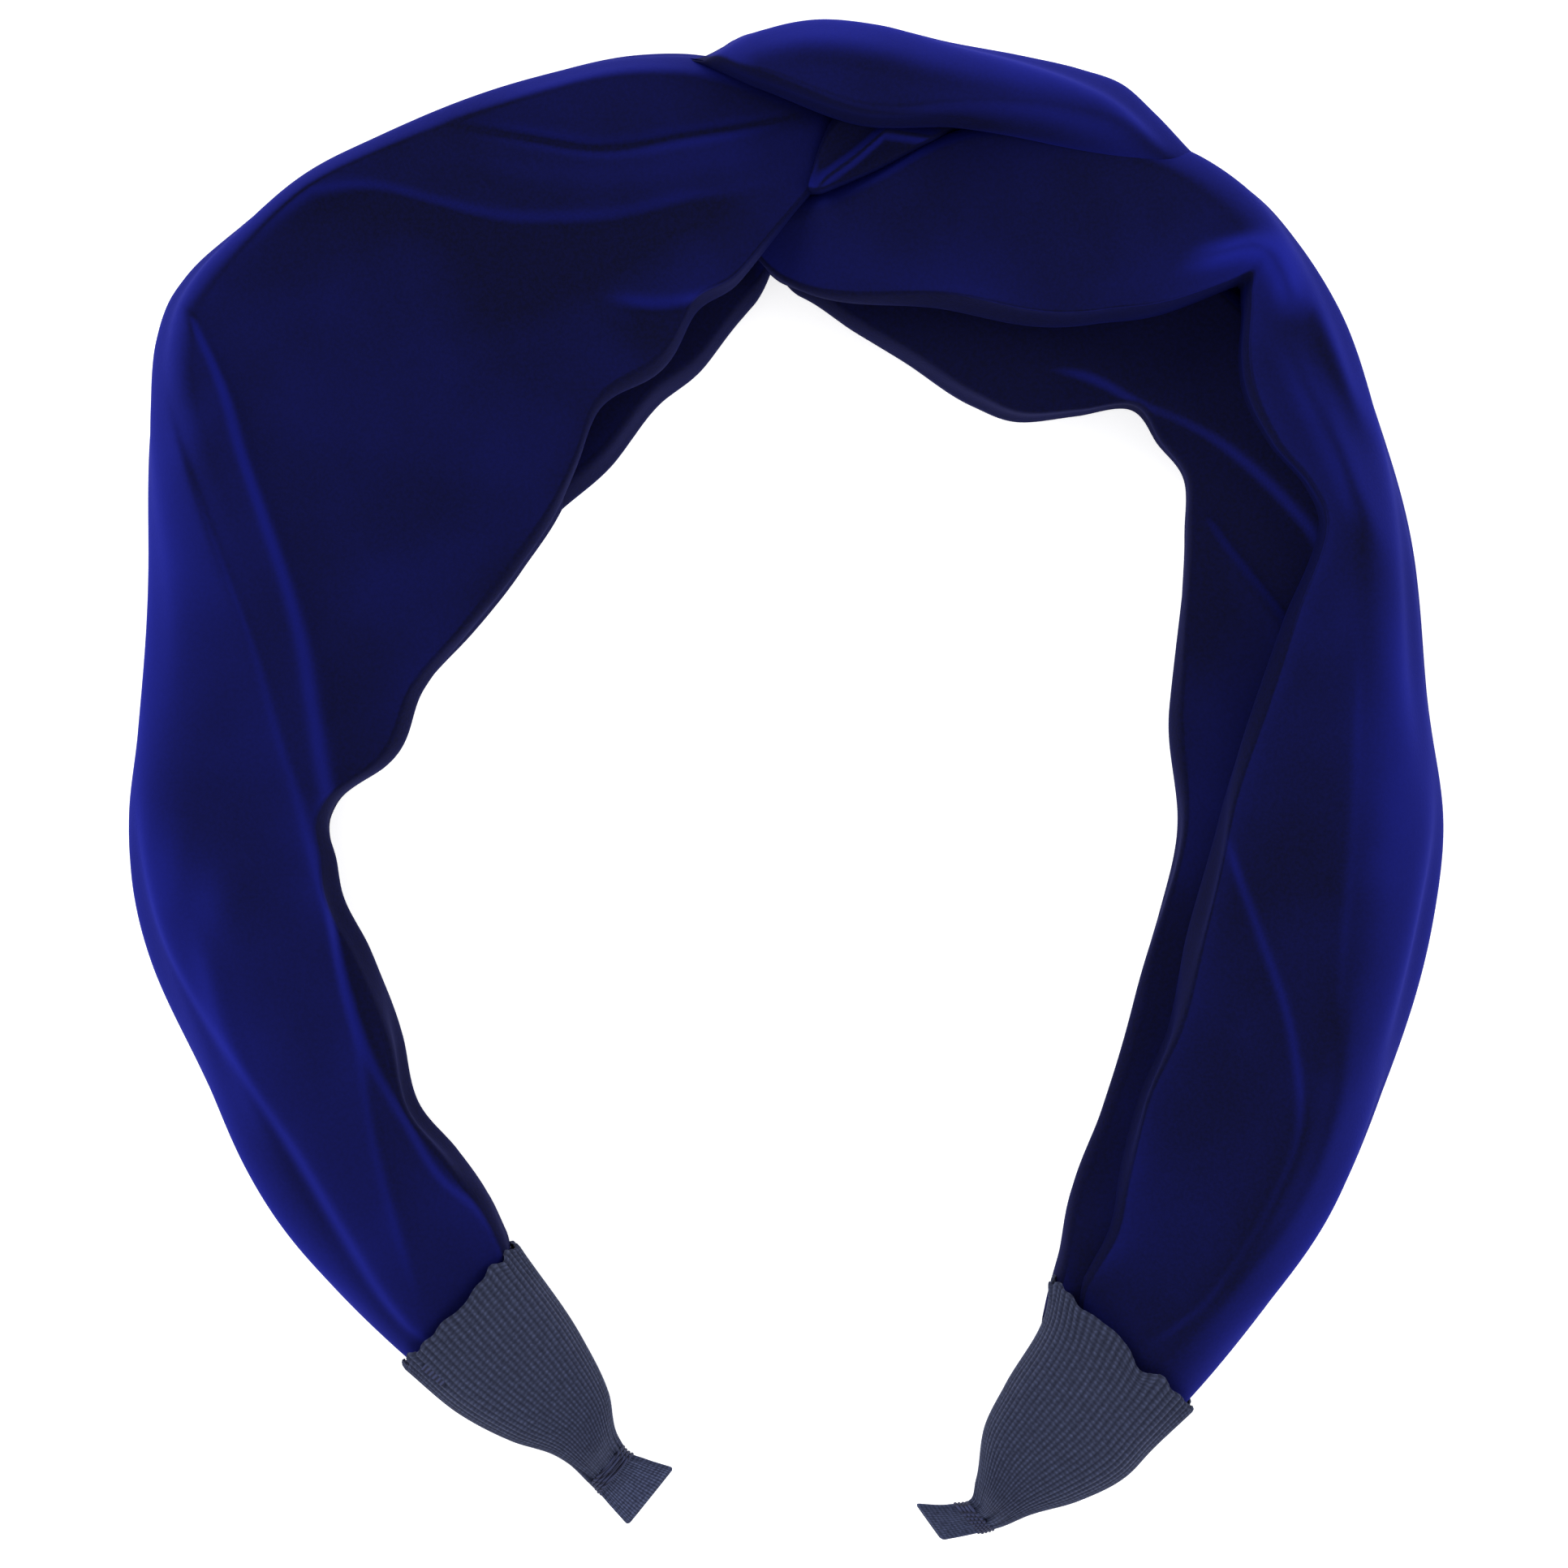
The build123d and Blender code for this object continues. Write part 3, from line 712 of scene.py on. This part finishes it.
def sock(name, outer_edge, inner_edge, half_height, middle_height, ribs, seed):
    """A knitted tube between two edge curves. Its section at each step is a superellipse from edge to
    edge, with the ribs evenly far apart round it. A cosine round the section moves the surface out
    for the ribs, which stand deeper at the mouth, and a few broad seeded waves make the wrinkles where it
    is cinched and the uneven mouth. It runs from the mouth to the tail's end and back inside itself."""
    columns = ribs * RIB_POINTS
    outside = np.linspace(0, 1, 190)
    step = np.concatenate([outside, outside[::-9]])
    is_lining = np.arange(len(step)) >= len(outside)
    centre, half, width, thick, level = section(outer_edge, inner_edge, half_height, middle_height, step)
    lip = (1 - rounded(np.minimum(step, 1 - step), 0.015)) * KNIT / 2
    inset = np.where(is_lining, KNIT - lip, lip)[:, None]
    fine = np.linspace(0, 2 * np.pi, 4001)
    ring = [size * wave for size, wave in zip((8, 6), flattened(fine))]
    length = np.concatenate([[0], np.cumsum(np.hypot(*np.diff(ring)))])
    turn = np.interp(np.linspace(0, length[-1], columns, endpoint=False), length, fine)[None, :]
    across, up = flattened(turn)
    rib = 0.5 + 0.5 * np.cos(
        2 * np.pi * ribs * np.arange(columns) / columns
    )[None, :] + 0 * step[:, None]
    at_mouth, at_cinch = ease((0.2 - step) / 0.2)[:, None], np.exp(
        -(((step - 0.79) / 0.07) ** 2)
    )[:, None]
    dice = np.random.default_rng(seed)
    wrinkle = sum(np.cos(n * turn + dice.uniform(0, 6.3)) * dice.uniform(0.4, 1) for n in (5, 7, 9, 12, 16))
    bump = RIB_DEPTH * (1 + at_mouth) * (rib - 0.6) + 0.13 * at_cinch * wrinkle
    bump = np.where(is_lining[:, None], 0, bump)
    a, b = width - inset + bump, np.maximum(thick - inset, 0.15) + bump
    mouth_wave = 0.22 * np.exp(-((step / 0.06) ** 2))[:, None] * wrinkle
    outwards, along = half / width, np.stack([-half[:, 1], half[:, 0]], axis=1) / width
    place = centre[:, None, :] + outwards[:, None, :] * (a * across)[..., None]
    place = place + along[:, None, :] * mouth_wave[..., None]
    z = level + b * up
    row = step[:, None] * np.hypot(*np.diff(path(outer_edge, outside), axis=0).T).sum() + 0 * turn
    points = np.concatenate([place, z[..., None]], axis=-1)
    return make_piece(name, [skin(points, [rib, row], loop=True)], ["rib", "row"])


LEFT_EDGES = (
    [
        (-40.9, -62.2), (-34.8, -67.3), (-29.2, -70.2), (-24.4, -71.8), (-20.9, -74.4), (-18.9, -76.9),
        (-16.8, -79.3)
    ],
    [
        (-28.8, -49), (-21.8, -59.1), (-18.9, -65.1), (-17.8, -70.2), (-17, -71.4), (-15, -72.2),
        (-11.9, -73.2)
    ],
)
LEFT_HEIGHTS = (
    [(0, 6.2), (0.3, 6.3), (0.6, 5.8), (0.73, 5.3), (0.81, 2.2), (0.88, 1.5), (1, 1.1)],
    [(0, 6.6), (0.6, 6.5), (0.8, 6.2), (1, 5.2)]
)
RIGHT_EDGES = (
    [
        (43.7, -66.8), (39.1, -71.2), (36.5, -73.9), (31.3, -76.6), (26.1, -78.1), (23.2, -79.3),
        (20, -80.2), (16.7, -80.9)
    ],
    [
        (28.4, -52.6), (27.9, -56.3), (23.5, -64.3), (21.4, -68.5), (20.5, -74.6), (20.1, -76.6),
        (17.5, -77.1), (13.9, -77)
    ],
)
RIGHT_HEIGHTS = (
    [(0, 6.4), (0.3, 6.4), (0.6, 5.6), (0.74, 4.8), (0.82, 2.2), (0.88, 1.5), (1, 1.1)],
    [(0, 6.6), (0.6, 6.5), (0.82, 6.2), (1, 5.2)]
)
sock_left = sock("knit_sock_left", *LEFT_EDGES, *LEFT_HEIGHTS, 60, 21)
sock_right = sock("knit_sock_right", *RIGHT_EDGES, *RIGHT_HEIGHTS, 64, 22)
thread_left = cinch_thread("wound_thread_left", LEFT_EDGES, LEFT_HEIGHTS, 0.8)
thread_right = cinch_thread("wound_thread_right", RIGHT_EDGES, RIGHT_HEIGHTS, 0.82)

# %% [markdown]
# ## Materials
# Each finish is named for what the real one is and how it was made.

# %% Colours and nodes


def linear(code):
    """An sRGB hex colour as linear red, green, blue and 1."""
    part = np.array([int(code[i : i + 2], 16) for i in (1, 3, 5)]) / 255
    bright = np.where(part <= 0.04045, part / 12.92, ((part + 0.055) / 1.055) ** 2.4)
    return (*bright.tolist(), 1.0)


def add_node(tree, kind, inputs=None, **settings):
    """Adds one node. settings are the node's own, and inputs gives its sockets a value or a link."""
    made = tree.nodes.new(kind)
    for key, value in settings.items():
        setattr(made, key, value)
    for key, value in (inputs or {}).items():
        if isinstance(value, bpy.types.NodeSocket):
            tree.links.new(value, made.inputs[key])
        else:
            made.inputs[key].default_value = value
    return made


def new_material(name):
    """An empty node material with an output, and its tree."""
    material = bpy.data.materials.new(name)
    material.use_nodes = True
    material.node_tree.nodes.clear()
    return material, material.node_tree


def finish_material(tree, inputs):
    """The surface of a material: one Principled shader into the output."""
    shader = add_node(tree, "ShaderNodeBsdfPrincipled", inputs)
    add_node(tree, "ShaderNodeOutputMaterial", {"Surface": shader.outputs["BSDF"]})


# %% Velvet
PILE = 0.35


def cut_pile_velvet():
    """Cut-pile velvet, its sheen painted into the base colour: dark where the surface faces the eye and
    royal blue where it turns away, as upright fibres are nearly black seen end on and bright seen from
    the side. The share of the bright colour is 0.55 (1 - exp(-1.3 x Facing)) as painted sheen, plus the
    painted light and shade mark, plus a patch of 0.02 to 0.06, and never under 0.015, with a grain of
    0.015 either way."""
    material, tree = new_material("cut_pile_velvet")
    where = add_node(tree, "ShaderNodeTexCoord").outputs["Object"]
    pile = add_node(
        tree, "ShaderNodeTexNoise", {"Vector": where, "Scale": 1 / (PILE * MM), "Detail": 2.0}
    ).outputs["Fac"]
    stroked = add_node(
        tree, "ShaderNodeTexNoise", {"Vector": where, "Scale": 1 / (14 * MM), "Detail": 2.0}
    ).outputs["Fac"]
    painted_marks = add_node(tree, "ShaderNodeAttribute", attribute_name="painted_light_and_nap").outputs["Fac"]
    # Painted sheen: the base colour turns bright blue as the surface turns away from the eye.
    turned = add_node(tree, "ShaderNodeLayerWeight", {"Blend": 0.5}).outputs["Facing"]
    patch = add_node(
        tree, "ShaderNodeMapRange",
        {"Value": stroked, "From Min": 0.3, "From Max": 0.7, "To Min": 0.02, "To Max": 0.06}
    ).outputs["Result"]
    grain = add_node(
        tree, "ShaderNodeMapRange",
        {"Value": pile, "From Min": 0.3, "From Max": 0.7, "To Min": -0.015, "To Max": 0.015}
    ).outputs["Result"]
    # The painted light and shade marks, plus a random patch of tone.
    lean = add_node(
        tree, "ShaderNodeMath", {0: painted_marks, 1: 1.0, 2: patch}, operation="MULTIPLY_ADD"
    ).outputs[0]
    faded = add_node(tree, "ShaderNodeMath", {0: turned, 1: -1.3}, operation="MULTIPLY").outputs[0]
    hidden = add_node(tree, "ShaderNodeMath", {0: faded}, operation="EXPONENT").outputs[0]
    side = add_node(
        tree, "ShaderNodeMath", {0: hidden, 1: -0.55, 2: 0.55}, operation="MULTIPLY_ADD"
    ).outputs[0]
    sheen_and_marks = add_node(tree, "ShaderNodeMath", {0: side, 1: lean}, operation="ADD").outputs[0]
    lit = add_node(tree, "ShaderNodeMath", {0: sheen_and_marks, 1: 0.015}, operation="MAXIMUM").outputs[0]
    amount = add_node(
        tree, "ShaderNodeMath", {0: lit, 1: grain}, operation="ADD", use_clamp=True
    ).outputs[0]
    colour = add_node(
        tree, "ShaderNodeMix", {"Factor": amount, 6: linear("#090a22"), 7: linear("#242db4")},
        data_type="RGBA"
    ).outputs[2]
    bump = add_node(
        tree, "ShaderNodeBump", {"Height": pile, "Strength": 0.2, "Distance": 0.15 * MM}
    ).outputs["Normal"]
    finish_material(tree, {
        "Base Color": colour, "Roughness": 0.95, "Specular IOR Level": 0.05,
        "Sheen Weight": 0.12, "Sheen Roughness": 0.4, "Sheen Tint": linear("#1c30d8"),
        "Normal": bump,
    })
    return material


velvet = cut_pile_velvet()


STITCH = 0.45


def rib_knit():
    """Fine rib knit in spun polyester: matt navy yarn, each rib a chain of loops, with painted shade in
    the grooves between the ribs and between the loops, and paler towards the tail's end.
    """
    material, tree = new_material("rib_knit_yarn")
    where = add_node(tree, "ShaderNodeTexCoord").outputs["Object"]
    rib = add_node(tree, "ShaderNodeAttribute", attribute_name="rib").outputs["Fac"]
    row = add_node(tree, "ShaderNodeAttribute", attribute_name="row").outputs["Fac"]
    fuzz = add_node(
        tree, "ShaderNodeTexNoise", {"Vector": where, "Scale": 1 / (0.4 * MM), "Detail": 3.0}
    ).outputs["Fac"]
    wave = add_node(
        tree, "ShaderNodeMath", {0: row, 1: 2 * np.pi / STITCH}, operation="MULTIPLY"
    ).outputs[0]
    swing = add_node(
        tree, "ShaderNodeMath", {0: fuzz, 1: 4.0, 2: wave}, operation="MULTIPLY_ADD"
    ).outputs[0]
    loops = add_node(tree, "ShaderNodeMath", {0: swing}, operation="SINE").outputs[0]
    # Painted shade between the rows of loops, and below it in the grooves between the ribs.
    loop = add_node(
        tree, "ShaderNodeMapRange", {"Value": loops, "From Min": -1.0, "To Min": 0.45}
    ).outputs["Result"]
    crown = add_node(tree, "ShaderNodeMapRange", {"Value": rib, "To Min": 0.3}).outputs["Result"]
    chain = add_node(tree, "ShaderNodeMath", {0: crown, 1: loop}, operation="MULTIPLY").outputs[0]
    # Paler towards the tail's end, from 24 to 27 mm along the sock.
    tail = add_node(
        tree, "ShaderNodeMapRange",
        {"Value": row, "From Min": 24.0, "From Max": 27.0, "To Min": 1.0, "To Max": 2.2}
    ).outputs["Result"]
    paler_to_tail = add_node(tree, "ShaderNodeMath", {0: chain, 1: tail}, operation="MULTIPLY").outputs[0]
    shade = add_node(
        tree, "ShaderNodeMath", {0: paler_to_tail, 1: fuzz}, operation="MULTIPLY", use_clamp=True
    ).outputs[0]
    colour = add_node(
        tree, "ShaderNodeMix", {"Factor": shade, 6: linear("#131627"), 7: linear("#4c5475")},
        data_type="RGBA"
    ).outputs[2]
    bump = add_node(
        tree, "ShaderNodeBump", {"Height": chain, "Strength": 0.5, "Distance": 0.2 * MM}
    ).outputs["Normal"]
    finish_material(tree, {
        "Base Color": colour, "Roughness": 0.9, "Specular IOR Level": 0.2,
        "Sheen Weight": 0.25, "Sheen Roughness": 0.5, "Sheen Tint": linear("#8088b0"),
        "Normal": bump,
    })
    return material


knit = rib_knit()

# %% [markdown]
# ## The hidden parts
# The hoop, tape, thread and glue keep their CAD shapes and only get finishes. Each CAD object's material
# slots are filled by the slot's name.

# %% Hoop, tape, thread and glue

def moulded_plastic():
    """Injection-moulded nylon: black, half gloss, with the faint orange peel of the mould."""
    material, tree = new_material("moulded_nylon")
    where = add_node(tree, "ShaderNodeTexCoord").outputs["Object"]
    peel = add_node(
        tree, "ShaderNodeTexNoise", {"Vector": where, "Scale": 1 / (0.8 * MM)}
    ).outputs["Fac"]
    tone = add_node(
        tree, "ShaderNodeMix", {"Factor": peel, 6: linear("#0c0c10"), 7: linear("#18181e")},
        data_type="RGBA"
    ).outputs[2]
    bump = add_node(
        tree, "ShaderNodeBump", {"Height": peel, "Strength": 0.1, "Distance": 0.05 * MM}
    ).outputs["Normal"]
    finish_material(tree, {"Base Color": tone, "Roughness": 0.4, "IOR": 1.53, "Normal": bump})
    return material


def twisted_yarn(name, pitch, deep, pale):
    """Navy polyester, spun: bands of thread a pitch apart, leaning, with a painted highlight on top of
    each band and painted shade between.
    """
    material, tree = new_material(name)
    where = add_node(tree, "ShaderNodeTexCoord").outputs["Object"]
    lean = add_node(
        tree, "ShaderNodeMapping", {"Vector": where, "Rotation": (0.5, 0.4, 0.6)}
    ).outputs["Vector"]
    wound = add_node(
        tree, "ShaderNodeTexWave",
        {"Vector": lean, "Scale": 1 / (pitch * MM) / 20 * 2 * np.pi, "Distortion": 1.0, "Detail": 2.0},
        bands_direction="Z",
    ).outputs["Fac"]
    tone = add_node(
        tree, "ShaderNodeMix", {"Factor": wound, 6: linear(deep), 7: linear(pale)}, data_type="RGBA"
    ).outputs[2]
    bump = add_node(
        tree, "ShaderNodeBump", {"Height": wound, "Strength": 0.5, "Distance": 0.1 * MM}
    ).outputs["Normal"]
    finish_material(
        tree, {"Base Color": tone, "Roughness": 0.8, "Specular IOR Level": 0.3, "Normal": bump}
    )
    return material


def hot_melt_glue():
    """Hot-melt glue, set: milky, with soft swirls from the nozzle."""
    material, tree = new_material("hot_melt_glue")
    where = add_node(tree, "ShaderNodeTexCoord").outputs["Object"]
    swirl = add_node(
        tree, "ShaderNodeTexNoise", {"Vector": where, "Scale": 1 / (3 * MM), "Distortion": 1.0}
    ).outputs["Fac"]
    tone = add_node(
        tree, "ShaderNodeMix", {"Factor": swirl, 6: linear("#b9b6a4"), 7: linear("#d8d6c8")},
        data_type="RGBA"
    ).outputs[2]
    bump = add_node(
        tree, "ShaderNodeBump", {"Height": swirl, "Strength": 0.2, "Distance": 0.3 * MM}
    ).outputs["Normal"]
    finish_material(tree, {"Base Color": tone, "Roughness": 0.3, "Normal": bump})
    return material


FINISHES = {
    "velvet": velvet, "rib_knit": knit, "hoop": moulded_plastic(), "glue": hot_melt_glue(),
    "tape": twisted_yarn("woven_tape", 0.6, "#10111f", "#262a48"),
    "thread": twisted_yarn("sewing_thread", 0.3, "#15172a", "#343a5c"),
}
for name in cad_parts:
    for place in bpy.data.objects[name].material_slots:
        place.material = FINISHES[place.material.name.split(".")[0]]
print("finishes:", sorted(FINISHES))

# %% [markdown]
# ## Moving with the arms
# Each arm turns on its hinge. The velvet crosses the hinge, and the sock and its thread ride on the arm.

# %% Pieces onto the frame
VELVET = {-1: [velvet_left, velvet_left_under], 1: [velvet_right, velvet_right_back, velvet_right_rim]}
for piece in VELVET[-1] + VELVET[1]:
    piece.data.materials.append(velvet)
for piece in (sock_left, sock_right):
    piece.data.materials.append(knit)

for side, side_name in SIDES.items():
    for piece in VELVET[side]:
        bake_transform(piece)
    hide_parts(f"velvet_knot_{side_name}", f"velvet_sleeve_{side_name}")
    sock_piece = {-1: sock_left, 1: sock_right}[side]
    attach(sock_piece, f"{side_name}_arm")
    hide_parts(f"rib_sock_{side_name}")
    thread = {-1: thread_left, 1: thread_right}[side]
    thread.data.materials.append(FINISHES["thread"])
    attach(thread, f"{side_name}_arm")
    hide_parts(f"cinch_thread_{side_name}")

# %% [markdown]
# ## Floor, light and camera
# The headband lies on a plain pale floor under a bright, even sky of light, and the camera looks straight
# down through a long lens, so that nothing leans outwards.

# %% Stage
floor_mesh = bpy.data.meshes.new("floor")
floor_mesh.from_pydata([(-3, -3, 0), (3, -3, 0), (3, 3, 0), (-3, 3, 0)], [], [(0, 1, 2, 3)])
floor = bpy.data.objects.new("floor", floor_mesh)
bpy.context.scene.collection.objects.link(floor)
opal, opal_tree = new_material("lit_opal_acrylic")
finish_material(opal_tree, {
    "Base Color": linear("#f6f6f7"), "Roughness": 0.9, "Specular IOR Level": 0.1,
    "Emission Color": (1, 1, 1, 1), "Emission Strength": 0.55,
})
floor_mesh.materials.append(opal)

world = bpy.data.worlds.new("even_light")
world.use_nodes = True
world.node_tree.nodes["Background"].inputs["Color"].default_value = (1, 1, 1, 1)
world.node_tree.nodes["Background"].inputs["Strength"].default_value = 0.75
bpy.context.scene.world = world


def softbox(name, place, size, power):
    """A square soft light at a place in metres, aimed at the headband."""
    lamp = bpy.data.lights.new(name, "AREA")
    lamp.shape, lamp.size, lamp.energy = "SQUARE", size, power
    light = bpy.data.objects.new(name, lamp)
    bpy.context.scene.collection.objects.link(light)
    light.location = place
    light.rotation_euler = (-light.location).to_track_quat("-Z", "Y").to_euler()
    return light


softbox("softbox_left", (-0.9, 0.7, 0.8), 0.7, 9)
softbox("softbox_right", (1.0, 0.2, 0.7), 0.7, 5)
softbox("softbox_front", (-0.1, -1.0, 0.9), 0.8, 4)

FIELD = 166.9
CAMERA_HEIGHT = 1.3
MID_HEIGHT = 0.012
lens = bpy.data.cameras.new("camera")
lens.sensor_width = 36
lens.lens = lens.sensor_width * (CAMERA_HEIGHT - MID_HEIGHT) / (FIELD * MM)
lens.clip_end = 10
camera = bpy.data.objects.new("camera", lens)
bpy.context.scene.collection.objects.link(camera)
camera.location = (-0.00013, 0, CAMERA_HEIGHT)
bpy.context.scene.camera = camera
bpy.context.scene.view_settings.view_transform = "Standard"
